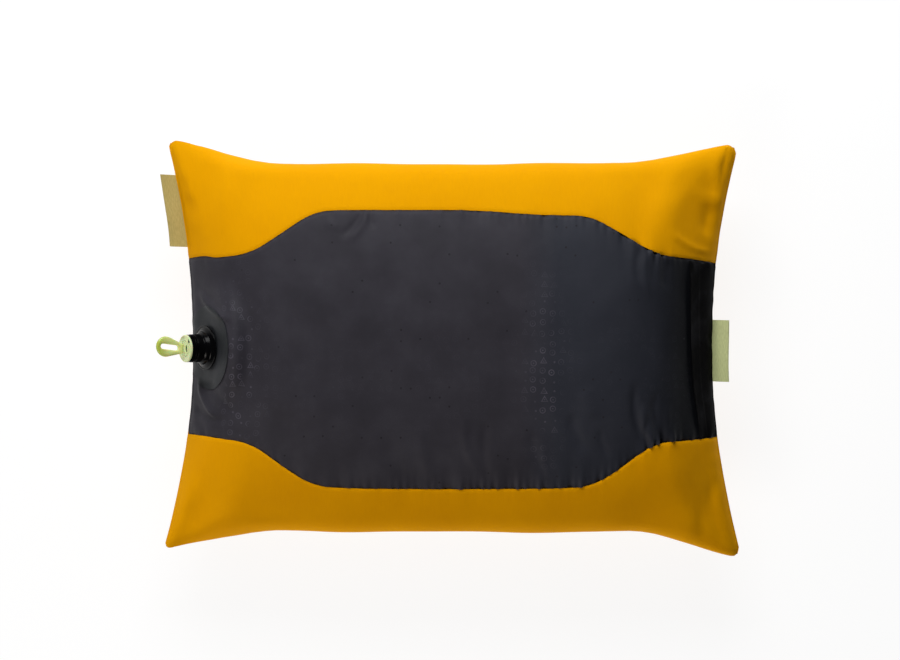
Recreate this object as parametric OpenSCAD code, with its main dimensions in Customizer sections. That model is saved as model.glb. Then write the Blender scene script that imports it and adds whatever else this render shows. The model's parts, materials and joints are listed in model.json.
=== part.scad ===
// Inflatable camp pillow: a sewn fabric case round a welded air bladder, with an
// oral valve at one end, an envelope opening at the other and a tape tab on each
// end seam. It lies with its sleeping face down on z = 0 and its back panel up.
// X runs along the pillow, with the valve at -X. Z is up. The origin is the centre
// of the patch that the pillow rests on. All sizes are in millimetres.

/* [Case] */
// Length from corner to corner
case_l = 386; // [380:1:392]
// Width from corner to corner
case_w = 277; // [270:1:284]
// Height when inflated
case_h = 95; // [92:1:98]
// How far the middle of each end is drawn in from the corners
end_waist = 14; // [12:0.5:16]
// How far the middle of each long side is drawn in from the corners
side_waist = 14.5; // [12:0.5:17]
// Exponent of the oval cross-section
section_power = 2.4; // [2.2:0.1:2.6]
// Exponent of the height's fall towards the end seams
end_power = 6; // [5.5:0.5:7]
// Depth that the weight presses flat underneath
sink = 2.5; // [2:0.1:3]
// Thickness of the case fabric
fabric_t = 0.8; // [0.6:0.1:0.9]

/* [Back panel] */
// Half width of the panel along the middle of the pillow
panel_mid = 89.5; // [86:0.5:92]
// Half width where the panel's slanted sides end
panel_shoulder = 64; // [61:0.5:66]
// Half width at the end seams
panel_end = 58.5; // [55:0.5:60]
// Distance from the centre to the start of the slanted sides
panel_mid_x = 89; // [84:1:94]
// Distance from the centre to the end of the slanted sides
panel_shoulder_x = 135; // [130:1:140]
// Sideways offset of the panel
panel_offset = -3; // [-4:0.5:-2]
// Gap between neighbouring layers of fabric
layer_gap = 0.2; // [0.15:0.01:0.25]

/* [Filling] */
// Thickness of the insulation under the sleeping face
pad_t = 5; // [4:0.5:6]
// Thickness of one bladder sheet
film_t = 0.6; // [0.5:0.05:0.7]
// Gap between the bladder and what lies round it
bladder_gap = 0.9; // [0.8:0.1:1]
// Distance of the bladder's weld from the end seams
weld_inset = 5; // [4.5:0.5:6]
// Width of the bladder's welded rim
weld_w = 3.5; // [3:0.5:4]
// Distance between the upright baffle webs
web_pitch = 60; // [55:1:65]
// Thickness of a baffle web
web_t = 0.6; // [0.5:0.1:0.8]

/* [Valve] */
// Distance of the valve from the centre, along the pillow
valve_x = 165; // [164:0.5:167]
// Sideways offset of the valve
valve_y = -1.3; // [-3:0.1:0]
// Angle of the valve's axis above the horizontal
valve_elevation = 36; // [34:1:38]
// Sideways turn of the valve's axis
valve_turn = 2; // [0:1:4]
// Radius of the flange on the outside
flange_r = 15; // [14.5:0.1:15.5]
// Radius of the barrel where it leaves the flange
barrel_base_r = 10.9; // [10.7:0.1:11.1]
// Radius of the straight nozzle that a pump sack's adapter slides over
nozzle_r = 9.4; // [9.3:0.1:9.6]
// Height of the housing above the fabric
housing_h = 12.2; // [11.8:0.1:12.8]
// Height of the mouthpiece's cap
cap_h = 3.8; // [3.5:0.1:4.5]
// Inner radius of the housing
housing_bore_r = 7.6; // [7.5:0.05:7.7]
// Inner radius of the mouthpiece
air_bore_r = 5.2; // [5.1:0.05:5.3]
// Radius of the smooth patch round the valve
patch_r = 28; // [26:0.5:29]

/* [Pull loop] */
// Width of the loop
loop_w = 13.6; // [12.6:0.1:14]
// Length of the loop from its bend to its tip
loop_l = 18.6; // [17:0.1:20]
// Thickness of the loop
loop_t = 2.6; // [2.4:0.1:2.8]
// Width of the slot in the loop
slot_w = 3.4; // [3:0.1:3.8]
// How far the loop's tip leans sideways
loop_lean = 1.8; // [0:0.1:2]

/* [Tabs] */
// Height of the label tab along the seam
label_h = 49; // [44:1:52]
// How far the label tab stands out
label_out = 10.8; // [9.5:0.1:12]
// Sideways place of the label tab's middle
label_y = 92.5; // [88:0.5:96]
// Height of the loop tab along the seam
loop_tab_h = 42; // [38:1:46]
// How far the loop tab stands out
loop_tab_out = 9.3; // [8.5:0.1:11]
// Sideways place of the loop tab's middle
loop_tab_y = -3.5; // [-6:0.5:0]
// Thickness of the tape
tape_t = 0.6; // [0.5:0.1:0.8]
// Radius of the fold that shapes a tab
fold_r = 1.2; // [1.1:0.1:1.4]

/* [Hidden] */

// The case
seam_half = 1.5;
mid_z = (case_h - sink) / 2;
half_h = (case_h + sink) / 2;
waist_l = case_l / 2 - end_waist;
flare_start = 0.62;
end_curve = 2.2;
flare_curve = 1.6;

// Stations along the pillow are closer together towards the ends
half_stations = 14;
station_power = 1.5;
stations = [
    for (i = [-half_stations : half_stations])
        sign(i) * (1 - pow(1 - abs(i) / half_stations, station_power))
];
last_station = 2 * half_stations;
wrap_steps = 34;
panel_steps = 14;
flap_stations = 3;
patch_stations = 7;

// The valve's plane, which its stiff flange holds flat
valve_z = mid_z + seam_half + (waist_l - valve_x) / tan(valve_elevation);
valve_normal = [
    -cos(valve_elevation) * cos(valve_turn),
    -cos(valve_elevation) * sin(valve_turn),
    sin(valve_elevation)
];
flat_r = 24;
blend_r = 42;
stem_r = 10.6;
stem_depth = 7;
hole_r = 11.2;
inner_flange_r = 13.6;
inner_flange_t = 1.1;

// A thin layer's depth below the outside of the case
pad_outside = fabric_t + 0.6;
pad_inside = pad_outside + pad_t;
bladder_top = fabric_t + bladder_gap;
bladder_bottom = pad_inside + bladder_gap;
inner_flange_z = -bladder_top - film_t - 0.5;

// ---- Shape of the case ----

function clamp01(t) = max(0, min(1, t));

function smooth(t) = t * t * (3 - 2 * t);

// Signed power, which turns an ellipse into a fuller oval
function spow(t, e) = sign(t) * pow(abs(t), e);

// Distance of the end seam from the centre at a sideways place
function end_x(y) = case_l / 2 - end_waist * (1 - pow(clamp01(abs(y) * 2 / case_w), end_curve));

// Half width of the case at a station
function half_w(u) =
    case_w / 2 - side_waist * (1 - pow(clamp01((abs(u) - flare_start) / (1 - flare_start)), flare_curve));

// Half height of the case at a station
function half_z(u) = seam_half + (half_h - seam_half) * (1 - pow(min(1, abs(u)), end_power));

// Height of the valve's plane, at a depth below it
function plane_z(x, y, depth) =
    valve_z - ((x + valve_x) * valve_normal[0] + (y - valve_y) * valve_normal[1] + depth) / valve_normal[2];

// How strongly the valve's flange holds the fabric in its plane
function plane_pull(x, y) =
    1 - smooth(clamp01((norm([(x + valve_x) / valve_normal[2], y - valve_y]) - flat_r) / (blend_r - flat_r)));

function blend(a, b, t) = a + (b - a) * t;

// A point of the closed section at a station, angle and depth. Angle 0 is the +Y side.
function case_point(u, angle, depth) =
    let (
        y = (half_w(u) - depth) * spow(cos(angle), 2 / section_power),
        x = u * end_x(y),
        lift = (half_z(u) - depth) * spow(sin(angle), 2 / section_power)
    )
    lift > 0
        ? [x, y, blend(mid_z + lift, max(mid_z, plane_z(x, y, depth)), plane_pull(x, y))]
        : [x, y, depth > 0 ? max(depth, mid_z + lift) : mid_z + lift];

// Half width of the back panel at a distance from the centre
function panel_half(x) = lookup(abs(x), [
    [0, panel_mid],
    [panel_mid_x, panel_mid],
    [panel_shoulder_x, panel_shoulder],
    [waist_l, panel_end]
]);

// Section angle of the panel's seam on one side
function seam_angle(u, side, gap) =
    let (y = panel_offset + side * (panel_half(u * waist_l) + gap))
    acos(spow(y / half_w(u), section_power / 2));

function wrap_row(u, depth) =
    let (
        start = seam_angle(u, -1, layer_gap),
        turn = 360 + seam_angle(u, 1, layer_gap) - start
    )
    [for (j = [0 : wrap_steps]) case_point(u, start + turn * j / wrap_steps, depth)];

function panel_row(u, depth) =
    let (
        start = seam_angle(u, 1, 0),
        turn = seam_angle(u, -1, 0) - start
    )
    [for (j = [0 : panel_steps]) case_point(u, start + turn * j / panel_steps, depth)];

function wrap_grid(depth) = [for (u = stations) wrap_row(u, depth)];

function panel_grid(depth, first, last) = [for (i = [first : last]) panel_row(stations[i], depth)];

// ---- A thin solid between an outer and an inner grid of points ----

function tri_pair(a, b, c, d) = [[a, b, c], [a, c, d]];

function joined(lists) = [for (list = lists) each list];

function sheet_faces(nu, nv) =
    let (n = nu * nv)
    joined([
        for (i = [0 : nu - 2], j = [0 : nv - 2])
            let (a = i * nv + j, b = a + nv)
            concat(tri_pair(a, b, b + 1, a + 1), tri_pair(n + a, n + a + 1, n + b + 1, n + b)),
        for (i = [0 : nu - 2])
            let (a = i * nv, b = a + nv, c = a + nv - 1, d = b + nv - 1)
            concat(tri_pair(b, a, n + a, n + b), tri_pair(c, d, n + d, n + c)),
        for (j = [0 : nv - 2])
            let (a = j, b = (nu - 1) * nv + j)
            concat(tri_pair(a, a + 1, n + a + 1, n + a), tri_pair(b + 1, b, n + b, n + b + 1))
    ]);

module sheet(outer, inner) {
    polyhedron(
        points = concat(joined(outer), joined(inner)),
        faces = sheet_faces(len(outer), len(outer[0])),
        convexity = 6
    );
}

// ---- The bladder ----

// A bladder station runs past 1 onto the welded rim
function bladder_x(u, y) =
    sign(u) * (min(1, abs(u)) * (end_x(y) - weld_inset) + max(0, abs(u) - 1) * weld_w);

weld_share = 1 - weld_inset / waist_l;
bladder_stations = concat([-2, -1], [for (u = stations) if (abs(u) < 0.99 * weld_share) u / weld_share], [1, 2]);
bladder_steps = 30;

// Half width of the bladder, from that of the case at the same distance from the centre
function bladder_half_w(u) = half_w(min(1, abs(u)) * weld_share) - bladder_bottom;

// A point of one bladder sheet. Side is 1 for the back sheet and -1 for the front sheet.
function bladder_point(u, angle, side, thick) =
    let (
        drop = side > 0 ? bladder_top : bladder_bottom,
        y = (bladder_half_w(u) - film_t * (1 - thick)) * spow(cos(angle), 2 / section_power),
        x = bladder_x(u, y),
        fill = (half_h - drop - film_t) * (1 - pow(min(1, abs(u)), end_power)),
        lift = film_t * thick + fill * spow(abs(sin(angle)), 2 / section_power),
        low = mid_z + film_t * thick,
        depth = drop + film_t * (1 - thick)
    )
    side > 0
        ? [x, y, blend(mid_z + lift, max(low, plane_z(x, y, depth)), plane_pull(x, y))]
        : [x, y, max(depth, mid_z - lift)];

function rim_point(u, y_side, side, thick) =
    let (y = y_side * (bladder_half_w(u) + weld_w))
    [bladder_x(u, y), y, mid_z + side * film_t * thick];

function bladder_row(u, side, thick) =
    side > 0
        ? concat(
            [rim_point(u, 1, 1, thick)],
            [for (j = [0 : bladder_steps]) bladder_point(u, 180 * j / bladder_steps, 1, thick)],
            [rim_point(u, -1, 1, thick)]
        )
        : concat(
            [rim_point(u, -1, -1, thick)],
            [for (j = [0 : bladder_steps]) bladder_point(u, 180 + 180 * j / bladder_steps, -1, thick)],
            [rim_point(u, 1, -1, thick)]
        );

module bladder_sheet(side) {
    sheet(
        [for (u = bladder_stations) bladder_row(u, side, 1)],
        [for (u = bladder_stations) bladder_row(u, side, 0)]
    );
}

// Height inside the bladder at a place, on the back (side 1) or the front (side -1)
web_clear = 0.8;
web_points = 16;
web_reach = 0.97;

function inside_z(x, y, side) =
    let (
        u = x / (end_x(y) - weld_inset),
        drop = side > 0 ? bladder_top : bladder_bottom,
        c = min(1, abs(y) / (bladder_half_w(u) - film_t)),
        fill = (half_h - drop - film_t) * (1 - pow(abs(u), end_power)),
        lift = fill * pow(1 - pow(c, section_power), 1 / section_power) - web_clear
    )
    side > 0 ? mid_z + lift : max(drop + film_t + web_clear, mid_z - lift);

// An upright web between the two sheets, across the pillow
module baffle_web(x) {
    reach = web_reach * (bladder_half_w(x / waist_l) - film_t);
    ys = [for (i = [-web_points : web_points]) reach * sin(90 * i / web_points)];
    outline = concat(
        [for (y = ys) [y, inside_z(x, y, 1)]],
        [for (i = [len(ys) - 1 : -1 : 0]) [ys[i], inside_z(x, ys[i], -1)]]
    );
    translate([x - web_t / 2, 0, 0])
        rotate([90, 0, 90])
        linear_extrude(web_t)
        polygon(outline);
}

// ---- The valve ----

module in_valve_frame() {
    translate([-valve_x, valve_y, valve_z])
        rotate([0, 0, valve_turn])
        rotate([0, valve_elevation - 90, 0])
        children();
}

module tube(r_out, r_in, z0, z1) {
    translate([0, 0, z0])
        difference() {
            cylinder(r = r_out, h = z1 - z0, $fn = 96);
            translate([0, 0, -1]) cylinder(r = r_in, h = z1 - z0 + 2, $fn = 96);
        }
}

module o_ring(r, section_r, z) {
    translate([0, 0, z])
        rotate_extrude($fn = 72)
        translate([r, 0])
        circle(r = section_r, $fn = 24);
}

cap_top = housing_h + 0.3 + cap_h;
foot_z = 0.9;
cone_z = 2.6;
taper_z = 5.6;
seal_z = 8;
plug_seal_z = 10.5;
loop_pivot_z = cap_top + 2.2;

module valve_housing() {
    color([0.03, 0.03, 0.035])
        in_valve_frame()
        difference() {
            rotate_extrude($fn = 96)
                polygon([
                    [0, -stem_depth],
                    [stem_r, -stem_depth],
                    [stem_r, foot_z - 0.1],
                    [flange_r, foot_z - 0.1],
                    [flange_r, foot_z + 0.5],
                    [barrel_base_r, cone_z],
                    [nozzle_r, taper_z],
                    [nozzle_r, housing_h],
                    [0, housing_h]
                ]);
            translate([0, 0, -stem_depth - 1])
                cylinder(r = housing_bore_r, h = stem_depth + housing_h + 2, $fn = 96);
        }
}

module valve_inner_flange() {
    color([0.75, 0.76, 0.74])
        in_valve_frame()
        tube(inner_flange_r, stem_r, inner_flange_z - inner_flange_t, inner_flange_z);
}

seat_z = -5.6;
seat_t = 1.4;
seat_rim = 1.6;
rib_w = 1.2;
rib_half_l = housing_bore_r - seat_rim / 2;
hub_r = 2.6;
hub_hole_r = 1.2;

module check_valve_seat() {
    color([0.85, 0.85, 0.82])
        in_valve_frame()
        translate([0, 0, seat_z])
        difference() {
            union() {
                tube(housing_bore_r, housing_bore_r - seat_rim, 0, seat_t);
                cylinder(r = hub_r, h = seat_t, $fn = 48);
                for (k = [0 : 2])
                    rotate([0, 0, 60 * k])
                        translate([-rib_half_l, -rib_w / 2, 0])
                        cube([2 * rib_half_l, rib_w, seat_t]);
            }
            translate([0, 0, -1]) cylinder(r = hub_hole_r, h = seat_t + 2, $fn = 48);
        }
}

// The check flap: a disc below the seat, a stalk through its hub and a head that stops it
flap_travel = 2;
flap_disc_r = housing_bore_r - 0.7;
flap_disc_t = 0.6;
flap_disc_gap = 0.1;
stalk_r = 0.9;
stalk_head_z = seat_t + flap_travel + 0.4;
stalk_head_h = 1.2;

module check_flap() {
    color([0.7, 0.72, 0.7, 0.8])
        in_valve_frame()
        translate([0, 0, seat_z])
        union() {
            translate([0, 0, -flap_disc_gap - flap_disc_t]) cylinder(r = flap_disc_r, h = flap_disc_t, $fn = 64);
            translate([0, 0, -2 * flap_disc_gap])
                cylinder(r = stalk_r, h = stalk_head_z + stalk_head_h / 2, $fn = 48);
            translate([0, 0, stalk_head_z]) cylinder(r1 = 1.7, r2 = 1, h = stalk_head_h, $fn = 48);
        }
}

tube_r = housing_bore_r - 0.3;
tube_foot_z = 2.4;
seal_section_r = 0.6;

module mouthpiece() {
    color([0.8, 0.88, 0.55])
        in_valve_frame()
        difference() {
            rotate_extrude($fn = 96)
                polygon([
                    [0, tube_foot_z],
                    [tube_r, tube_foot_z],
                    [tube_r, seal_z - 0.8],
                    [tube_r - 1, seal_z - 0.8],
                    [tube_r - 1, seal_z + 0.8],
                    [tube_r, seal_z + 0.8],
                    [tube_r, housing_h + 0.3],
                    [nozzle_r - 0.2, housing_h + 0.3],
                    [nozzle_r - 0.2, cap_top - 0.6],
                    [nozzle_r - 0.8, cap_top],
                    [0, cap_top]
                ]);
            translate([0, 0, tube_foot_z - 1])
                cylinder(r = air_bore_r, h = cap_top - tube_foot_z + 2, $fn = 96);
        }
}

module mouthpiece_seal() {
    color([0.1, 0.1, 0.1])
        in_valve_frame()
        o_ring(tube_r - 1 + seal_section_r + 0.03, seal_section_r, seal_z);
}

plug_r = air_bore_r - 0.3;
plug_foot_z = 4.2;
plug_groove = 0.8;
neck_t = 1.8;
neck_w = 6.4;
neck_h = 0.6;

module valve_plug() {
    color([0.78, 0.88, 0.45])
        in_valve_frame()
        union() {
            rotate_extrude($fn = 96)
                polygon([
                    [0, plug_foot_z],
                    [plug_r - plug_groove, plug_foot_z],
                    [plug_r, plug_foot_z + 1],
                    [plug_r, plug_seal_z - 0.7],
                    [plug_r - plug_groove, plug_seal_z - 0.7],
                    [plug_r - plug_groove, plug_seal_z + 0.7],
                    [plug_r, plug_seal_z + 0.7],
                    [plug_r, cap_top + 0.2],
                    [0, cap_top + 0.2]
                ]);
            // The neck that the pull loop bends on
            translate([-neck_t / 2, -neck_w / 2, cap_top])
                cube([neck_t, neck_w, neck_h]);
        }
}

module plug_seal() {
    color([0.1, 0.1, 0.1])
        in_valve_frame()
        o_ring(plug_r - plug_groove + 0.55, 0.5, plug_seal_z);
}

// A teardrop plate round a slot, standing out along the valve's axis
module pull_loop() {
    root_r = loop_t / 2;
    root_half = 3.4;
    tip_r = loop_w / 2;
    slot_start = 4.6;
    slot_end = loop_l - slot_start;
    lean_angle = atan(loop_lean / (loop_l - tip_r));
    color([0.7, 0.8, 0.15])
        in_valve_frame()
        translate([0, 0, loop_pivot_z])
        difference() {
            union() {
                rotate([90, 0, 0])
                    translate([0, 0, -root_half])
                    cylinder(r = root_r, h = 2 * root_half, $fn = 48);
                rotate([0, -90, 0])
                    translate([0, 0, -root_r])
                    linear_extrude(loop_t)
                    hull() {
                        translate([0.4, -root_half]) square([0.6, 2 * root_half]);
                        translate([loop_l - tip_r, loop_lean]) circle(r = tip_r, $fn = 48);
                    }
            }
            rotate([0, -90, 0])
                translate([0, 0, -loop_t])
                linear_extrude(2 * loop_t)
                rotate(lean_angle)
                union() {
                    translate([slot_start, 0]) circle(r = slot_w / 2, $fn = 32);
                    translate([slot_start, -slot_w / 2]) square([slot_end - slot_start, slot_w]);
                    translate([slot_end, 0]) circle(r = slot_w / 2, $fn = 32);
                }
        }
}

// ---- The case's panels ----

module case_wrap() {
    color([0.93, 0.66, 0.02])
        difference() {
            sheet(wrap_grid(0), wrap_grid(fabric_t));
            translate([-case_l, -case_w, -2 * case_h])
                cube([2 * case_l, 2 * case_w, 2 * case_h]);
        }
}

module valve_hole(r) {
    in_valve_frame()
        translate([0, 0, -12])
        cylinder(r = r, h = 24, $fn = 96);
}

module back_panel() {
    color([0.2, 0.19, 0.22])
        difference() {
            sheet(
                panel_grid(0, 0, last_station - 1),
                panel_grid(fabric_t, 0, last_station - 1)
            );
            valve_hole(hole_r);
        }
}

// Layers on the outside of the panel start one gap above it
over_low = -layer_gap;
over_high = -layer_gap - 0.5;

module end_flap() {
    first = last_station - flap_stations;
    color([0.12, 0.12, 0.13])
        sheet(
            panel_grid(over_high, first, last_station),
            panel_grid(over_low, first, last_station)
        );
}

module valve_patch() {
    color([0.14, 0.15, 0.17])
        difference() {
            intersection() {
                sheet(
                    panel_grid(over_high, 0, patch_stations),
                    panel_grid(over_low, 0, patch_stations)
                );
                valve_hole(patch_r);
            }
            valve_hole(hole_r);
        }
}

// ---- Bound seam allowances inside the ends ----

// Each binding is turned down against the inside of the wrap
binding_first = 0.966;
binding_last = 0.988;
binding_rows = 3;
binding_steps = 24;
binding_angle = 20;
binding_top = fabric_t + 0.7;
binding_t = 0.8;

function binding_row(u, depth) = [
    for (j = [0 : binding_steps])
        case_point(u, 180 + binding_angle + (180 - 2 * binding_angle) * j / binding_steps, depth)
];

function binding_grid(side, depth) = [
    for (i = [0 : binding_rows])
        let (share = i / binding_rows)
        binding_row(side > 0
            ? blend(binding_first, binding_last, share)
            : -blend(binding_last, binding_first, share), depth)
];

module end_binding(side) {
    color([0.25, 0.24, 0.2])
        sheet(binding_grid(side, binding_top), binding_grid(side, binding_top + binding_t));
}

module end_binding_left() {
    end_binding(-1);
}

module end_binding_right() {
    end_binding(1);
}

// ---- Tape tabs on the end seams ----

// A tape folded in two round a small arc. Its legs meet at the seam, at x = 0, and its
// fold, which the skew slants, is at x = out.
module folded_tape(out, height, skew) {
    arc_steps = 8;
    root_x = -5;
    root_half = tape_t + 0.05;
    inner_r = fold_r - tape_t;
    outer = [for (k = [-arc_steps : arc_steps])
        [out - fold_r + fold_r * cos(90 * k / arc_steps), fold_r * sin(90 * k / arc_steps)]];
    inner = [for (k = [arc_steps : -1 : -arc_steps])
        [out - fold_r + inner_r * cos(90 * k / arc_steps), inner_r * sin(90 * k / arc_steps)]];
    outline = concat(
        [[root_x, -root_half], [0.5, -root_half]], outer, [[0.5, root_half], [root_x, root_half]],
        [[root_x, 0.05], [0.5, 0.05]], inner, [[0.5, -0.05], [root_x, -0.05]]
    );
    intersection() {
        multmatrix([[1, skew, 0, 0], [0, 1, 0, 0], [0, 0, 1, 0]])
            translate([0, height / 2, 0])
            rotate([90, 0, 0])
            linear_extrude(height)
            polygon(outline);
        translate([0, -height, -height])
            cube([2 * height, 2 * height, 2 * height]);
    }
}

// Direction of the end seam at a sideways place, as an angle from Y
function seam_lean(y, span) = atan((end_x(y + span / 2) - end_x(y - span / 2)) / span);

tab_gap = 1;

module label_tab() {
    lean = seam_lean(label_y, label_h);
    chord_x = (end_x(label_y + label_h / 2) + end_x(label_y - label_h / 2)) / 2;
    color([0.7, 0.66, 0.42])
        translate([-chord_x - tab_gap, label_y, mid_z])
        rotate([0, 0, 180 + lean])
        folded_tape(label_out, label_h, 0.06);
}

module loop_tab() {
    color([0.66, 0.72, 0.42])
        translate([end_x(loop_tab_y + loop_tab_h / 2) + tab_gap, loop_tab_y, mid_z])
        folded_tape(loop_tab_out, loop_tab_h, 0.05);
}

// ---- Insulation and bladder ----

pad_steps = 18;
pad_angle = 20;
pad_first = 3;
pad_taper = 3.5;

function pad_row(i, depth) = [
    for (j = [0 : pad_steps])
        case_point(stations[i], 180 + pad_angle + (180 - 2 * pad_angle) * j / pad_steps, depth)
];

module insulation_pad() {
    last = last_station - pad_first;
    color([0.92, 0.92, 0.88])
        sheet(
            [for (i = [pad_first : last]) pad_row(i, pad_outside)],
            [for (i = [pad_first : last]) pad_row(i, i == pad_first || i == last ? pad_inside - pad_taper : pad_inside)]
        );
}

module bladder_front_sheet() {
    color([0.55, 0.57, 0.6])
        bladder_sheet(-1);
}

module bladder_back_sheet() {
    color([0.5, 0.52, 0.56])
        difference() {
            bladder_sheet(1);
            valve_hole(stem_r + 0.4);
        }
}

module baffle_web_left() {
    color([0.6, 0.62, 0.65]) baffle_web(-web_pitch);
}

module baffle_web_middle() {
    color([0.6, 0.62, 0.65]) baffle_web(0);
}

module baffle_web_right() {
    color([0.6, 0.62, 0.65]) baffle_web(web_pitch);
}

case_wrap();
back_panel();
end_flap();
valve_patch();
end_binding_left();
end_binding_right();
label_tab();
loop_tab();
insulation_pad();
bladder_front_sheet();
bladder_back_sheet();
baffle_web_left();
baffle_web_middle();
baffle_web_right();
valve_housing();
valve_inner_flange();
check_valve_seat();
check_flap();
mouthpiece();
mouthpiece_seal();
valve_plug();
plug_seal();
pull_loop();
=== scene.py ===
"""Looks of an inflatable camp pillow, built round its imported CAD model."""

import json
import math

import bpy
import numpy as np
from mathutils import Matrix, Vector


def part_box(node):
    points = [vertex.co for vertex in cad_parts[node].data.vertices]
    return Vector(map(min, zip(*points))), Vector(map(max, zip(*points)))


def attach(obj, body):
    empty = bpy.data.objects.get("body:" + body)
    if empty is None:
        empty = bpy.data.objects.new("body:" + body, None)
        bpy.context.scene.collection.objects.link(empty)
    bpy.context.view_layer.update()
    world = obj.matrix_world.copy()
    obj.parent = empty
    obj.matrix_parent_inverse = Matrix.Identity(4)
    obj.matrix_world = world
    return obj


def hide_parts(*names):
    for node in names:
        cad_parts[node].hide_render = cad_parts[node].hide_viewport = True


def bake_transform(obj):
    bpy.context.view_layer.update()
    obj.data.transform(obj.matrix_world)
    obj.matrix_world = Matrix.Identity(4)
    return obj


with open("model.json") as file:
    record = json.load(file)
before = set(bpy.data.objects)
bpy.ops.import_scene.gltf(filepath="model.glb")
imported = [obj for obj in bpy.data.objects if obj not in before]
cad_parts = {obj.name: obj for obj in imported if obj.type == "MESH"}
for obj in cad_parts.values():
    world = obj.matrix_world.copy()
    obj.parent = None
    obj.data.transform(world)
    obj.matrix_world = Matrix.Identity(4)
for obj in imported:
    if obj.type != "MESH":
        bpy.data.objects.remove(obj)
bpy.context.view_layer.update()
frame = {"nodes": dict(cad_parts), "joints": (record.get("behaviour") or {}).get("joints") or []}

# ---- Sizes of the part, in millimetres, as the CAD has them ----

MM = 0.001
TURN = 2 * math.pi
wrap_lo, wrap_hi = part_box("case_wrap")
panel_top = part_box("back_panel")[1].z / MM
CASE_L = (wrap_hi.x - wrap_lo.x) / MM
CASE_W = (wrap_hi.y - wrap_lo.y) / MM
# The case sinks a little into the ground plane before it is flattened there
SINK = 2.5
MID_Z = (panel_top - SINK) / 2
HALF_H = panel_top - MID_Z
END_WAIST = 14
SIDE_WAIST = 14.5
# Powers of the rounded section and of how the height falls towards the ends
POWER = 2.4
END_POWER = 6
SEAM_HALF = 0.8
FLARE_START = 0.62
WAIST_L = CASE_L / 2 - END_WAIST
# Half width of the panel at places along the pillow
PANEL_HALF = ((0, 89.5), (89, 89.5), (135, 64), (WAIST_L, 58.5))
PANEL_OFFSET = -3
ROUNDING = np.linspace(-10, 10, 11)
# Round the valve: the flat seat, where its pull ends, the smooth ring, the patch, and the hole with how
# far along the axis it cuts
FLAT_R, BLEND_R, CALM_R, PATCH_R = 19, 58, 17, 28
HOLE_R, HOLE_REACH = 11.2, 12
CLOTH_T = 0.45

joints = {j["name"]: j for j in frame["joints"]}
VALVE_AXIS = np.array(joints["plug_pull"]["axis"])
VALVE_AT = np.array(joints["mouthpiece_twist"]["pos_m"]) / MM - 10 * VALVE_AXIS
valve_side = np.cross((0, 0, 1), VALVE_AXIS)
valve_side /= np.linalg.norm(valve_side)
VALVE_UP = np.cross(VALVE_AXIS, valve_side)
# The valve's own directions: x' down along the end, y' sideways, z' along its axis
VALVE_FRAME = np.array([-VALVE_UP, -valve_side, VALVE_AXIS]).T


def in_space(local):
    """Points in mm from places (x', y', z') in the valve's own directions."""
    return local @ VALVE_FRAME.T + VALVE_AT


# ---- Mesh making ----


def link(name, data, material=None):
    ob = bpy.data.objects.new(name, data)
    bpy.context.scene.collection.objects.link(ob)
    if material:
        data.materials.append(material)
    return ob


def facing_out(verts, faces):
    """The faces of a closed mesh, turned so that they face out."""
    corners = verts[faces]
    a, b, c, d = (corners[:, k] for k in range(4))
    volume = (np.cross(b - a, c - a) * a).sum() + (np.cross(c - a, d - a) * a).sum()
    return faces if volume > 0 else faces[:, ::-1]


def mesh_of(name, verts, faces, material, uv=None, sharp=50):
    """An object from points in mm, with a UV per point in mm of flat cloth."""
    mesh = bpy.data.meshes.new(name)
    verts = verts * MM
    faces = facing_out(verts, faces)
    mesh.from_pydata(verts.tolist(), [], faces.tolist())
    if uv is not None:
        layer = mesh.uv_layers.new(name="cloth")
        layer.data.foreach_set("uv", (uv[faces.ravel()] * MM).astype(np.float32).ravel())
    mesh.polygons.foreach_set("use_smooth", np.ones(len(mesh.polygons), bool))
    mesh.set_sharp_from_angle(angle=math.radians(sharp))
    return link(name, mesh, material)


def grid_faces(nu, nv, first=0, flip=False):
    i, j = np.meshgrid(np.arange(nu - 1), np.arange(nv - 1), indexing="ij")
    a = first + (i * nv + j).ravel()
    quads = np.stack([a, a + nv, a + nv + 1, a + 1], -1)
    return quads[:, ::-1] if flip else quads


def normals_of(grid):
    """Unit normals of a grid of points, outward for grids whose rows run as in grid_faces."""
    n = np.cross(np.gradient(grid, axis=1), np.gradient(grid, axis=0))
    n /= np.maximum(np.linalg.norm(n, axis=-1, keepdims=True), 1e-12)
    return n


def thin_faces(nu, nv):
    """Faces of a closed thin solid between two grids, the outer one first."""
    n = nu * nv
    faces = [grid_faces(nu, nv), grid_faces(nu, nv, n, True)]
    i, j = np.arange(nu - 1) * nv, np.arange(nv - 1)
    last_v, last_u = nv - 1, (nu - 1) * nv
    for a, b in ((i + nv, i), (i + last_v, i + nv + last_v), (j, j + 1), (last_u + j + 1, last_u + j)):
        faces.append(np.stack([a, b, n + b, n + a], -1))
    return np.concatenate(faces)[:, ::-1]


def flat_uv(grid):
    """Each point's place on the flat cloth, from the lengths along the rows and columns."""
    du = np.linalg.norm(np.diff(grid, axis=0), axis=-1).mean(axis=1)
    u = np.concatenate([[0], np.cumsum(du)])
    dv = np.linalg.norm(np.diff(grid, axis=1), axis=-1)
    v = np.concatenate([np.zeros((grid.shape[0], 1)), np.cumsum(dv, axis=1)], axis=1)
    v -= v[:, -1:] / 2
    return np.stack([np.broadcast_to(u[:, None], v.shape), v], -1)


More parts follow.
